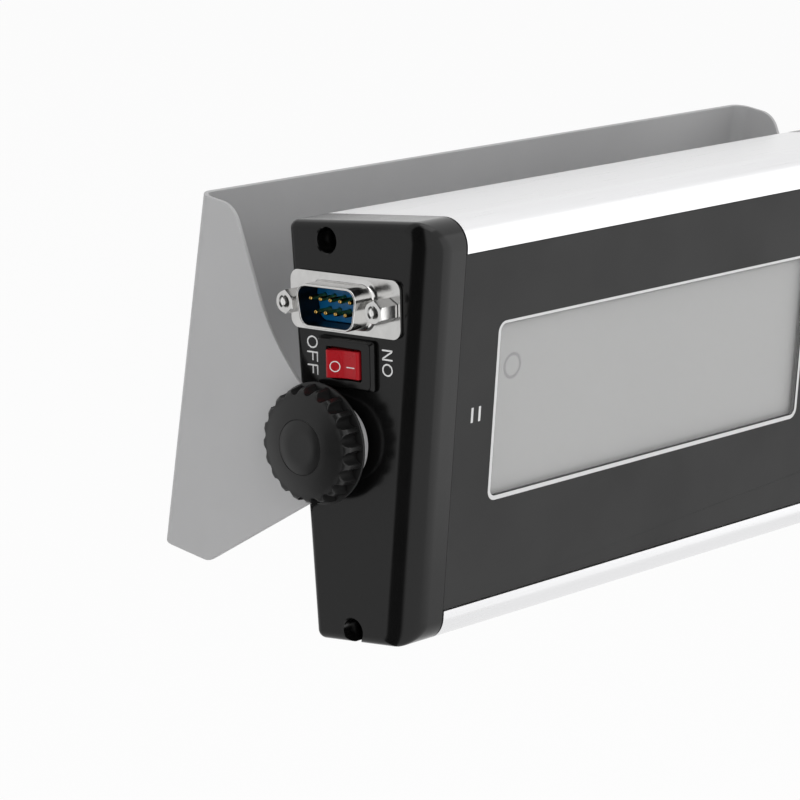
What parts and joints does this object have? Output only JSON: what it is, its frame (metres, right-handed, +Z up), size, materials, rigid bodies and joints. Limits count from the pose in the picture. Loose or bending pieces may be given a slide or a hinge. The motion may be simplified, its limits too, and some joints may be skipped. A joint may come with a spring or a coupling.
{
  "type": "parcel scale display unit",
  "caption": "Display unit of a parcel scale: slanted aluminium case with black end caps, serial connector and rocker switch, clamped by scalloped knobs in a bent steel wall bracket.",
  "frame": {"origin": "middle of the bracket's back face, where it lies against the wall", "axes": "+X along the housing to the right of someone reading the display, +Y into the wall, +Z up"},
  "size_m": [0.2088, 0.0711, 0.0959],
  "materials": {
    "bracket_steel": "grey powder coat, satin",
    "extruded_aluminium": "natural anodised",
    "moulded_black": "fine spark-eroded texture",
    "rubber_black": "matt",
    "panel_graphite": "fine textured film",
    "clear_pane": "clear, slight tint",
    "display_grey": "unlit liquid crystal display",
    "backlight_white": "white",
    "key_grey": "satin",
    "board_green": "solder mask",
    "tinned_steel": "tin plated",
    "insulator_blue": "semi-gloss",
    "contact_gold": "gold plated",
    "rocker_red": "semi-gloss",
    "insert_brass": "turned",
    "screw_zinc": "zinc plated"
  },
  "bodies": {
    "bracket": {"bracket": "bracket_steel"},
    "display": {"housing_tube": "extruded_aluminium", "end_cap_left": "moulded_black", "end_cap_right": "moulded_black", "cap_screw_left_top": "screw_zinc", "cap_screw_left_bottom": "screw_zinc", "cap_screw_right_top": "screw_zinc", "cap_screw_right_bottom": "screw_zinc", "cap_insert_left": "insert_brass", "cap_insert_right": "insert_brass", "friction_washer_left": "rubber_black", "friction_washer_right": "rubber_black", "front_overlay": "panel_graphite", "display_window": "clear_pane", "lcd_glass": "display_grey", "lcd_backlight": "backlight_white", "display_board": "board_green", "key_switch_1": "moulded_black", "key_switch_2": "moulded_black", "key_switch_3": "moulded_black", "key_switch_4": "moulded_black", "main_board": "board_green", "processor_chip": "moulded_black", "converter_chip": "moulded_black", "capacitor": "extruded_aluminium", "board_header_main": "backlight_white", "board_header_display": "backlight_white", "ribbon_cable": "key_grey", "connector_shell": "tinned_steel", "connector_insulator": "insulator_blue", "connector_pin_1": "contact_gold", "connector_pin_2": "contact_gold", "connector_pin_3": "contact_gold", "connector_pin_4": "contact_gold", "connector_pin_5": "contact_gold", "connector_pin_6": "contact_gold", "connector_pin_7": "contact_gold", "connector_pin_8": "contact_gold", "connector_pin_9": "contact_gold", "jackscrew_front": "tinned_steel", "jackscrew_rear": "tinned_steel", "switch_housing": "moulded_black", "switch_terminal_front": "tinned_steel", "switch_terminal_rear": "tinned_steel", "power_inlet": "moulded_black", "power_inlet_nut": "tinned_steel", "load_cell_socket": "tinned_steel", "load_cell_socket_insert": "moulded_black", "load_cell_socket_nut": "tinned_steel"},
    "washer_left": {"knob_washer_left": "screw_zinc"},
    "clamp_left": {"knob_left": "moulded_black", "knob_stud_left": "screw_zinc"},
    "washer_right": {"knob_washer_right": "screw_zinc"},
    "clamp_right": {"knob_right": "moulded_black", "knob_stud_right": "screw_zinc"},
    "rocker": {"switch_rocker": "rocker_red"},
    "key_1": {"key_1": "key_grey"},
    "key_2": {"key_2": "key_grey"},
    "key_3": {"key_3": "key_grey"},
    "key_4": {"key_4": "key_grey"}
  },
  "joints": [
    {"name": "tilt", "type": "hinge", "parent": "bracket", "child": "display", "pos_m": [0, -0.0433, -0.00345], "axis": [1, 0, 0], "range_deg": [-10, 60]},
    {"name": "knob_left_travel", "type": "slide", "parent": "display", "child": "washer_left", "axis": [-1, 0, 0], "range_m": [0, 0.002]},
    {"name": "knob_left_turn", "type": "hinge", "parent": "washer_left", "child": "clamp_left", "pos_m": [-0.1, -0.0433, -0.00345], "axis": [-1, 0, 0], "range_deg": [0, 720]},
    {"name": "knob_right_travel", "type": "slide", "parent": "display", "child": "washer_right", "axis": [1, 0, 0], "range_m": [0, 0.002]},
    {"name": "knob_right_turn", "type": "hinge", "parent": "washer_right", "child": "clamp_right", "pos_m": [0.1, -0.0433, -0.00345], "axis": [1, 0, 0], "range_deg": [0, 720]},
    {"name": "rocker_tip", "type": "hinge", "parent": "display", "child": "rocker", "pos_m": [-0.0956, -0.04593, 0.0146], "axis": [0, -0.1845, -0.9828], "range_deg": [0, 22]},
    {"name": "key_1_press", "type": "slide", "parent": "display", "child": "key_1", "axis": [0, 0.9968, -0.0795], "range_m": [0, 0.0004], "stiffness_N_per_m": 1500, "springref_m": -0.0002},
    {"name": "key_2_press", "type": "slide", "parent": "display", "child": "key_2", "axis": [0, 0.9968, -0.0795], "range_m": [0, 0.0004], "stiffness_N_per_m": 1500, "springref_m": -0.0002},
    {"name": "key_3_press", "type": "slide", "parent": "display", "child": "key_3", "axis": [0, 0.9968, -0.0795], "range_m": [0, 0.0004], "stiffness_N_per_m": 1500, "springref_m": -0.0002},
    {"name": "key_4_press", "type": "slide", "parent": "display", "child": "key_4", "axis": [0, 0.9968, -0.0795], "range_m": [0, 0.0004], "stiffness_N_per_m": 1500, "springref_m": -0.0002}
  ],
  "couplings": [
    {"joint": "knob_left_turn", "follows": "knob_left_travel", "rad_per_m": 6283.2},
    {"joint": "knob_right_turn", "follows": "knob_right_travel", "rad_per_m": 6283.2}
  ]
}
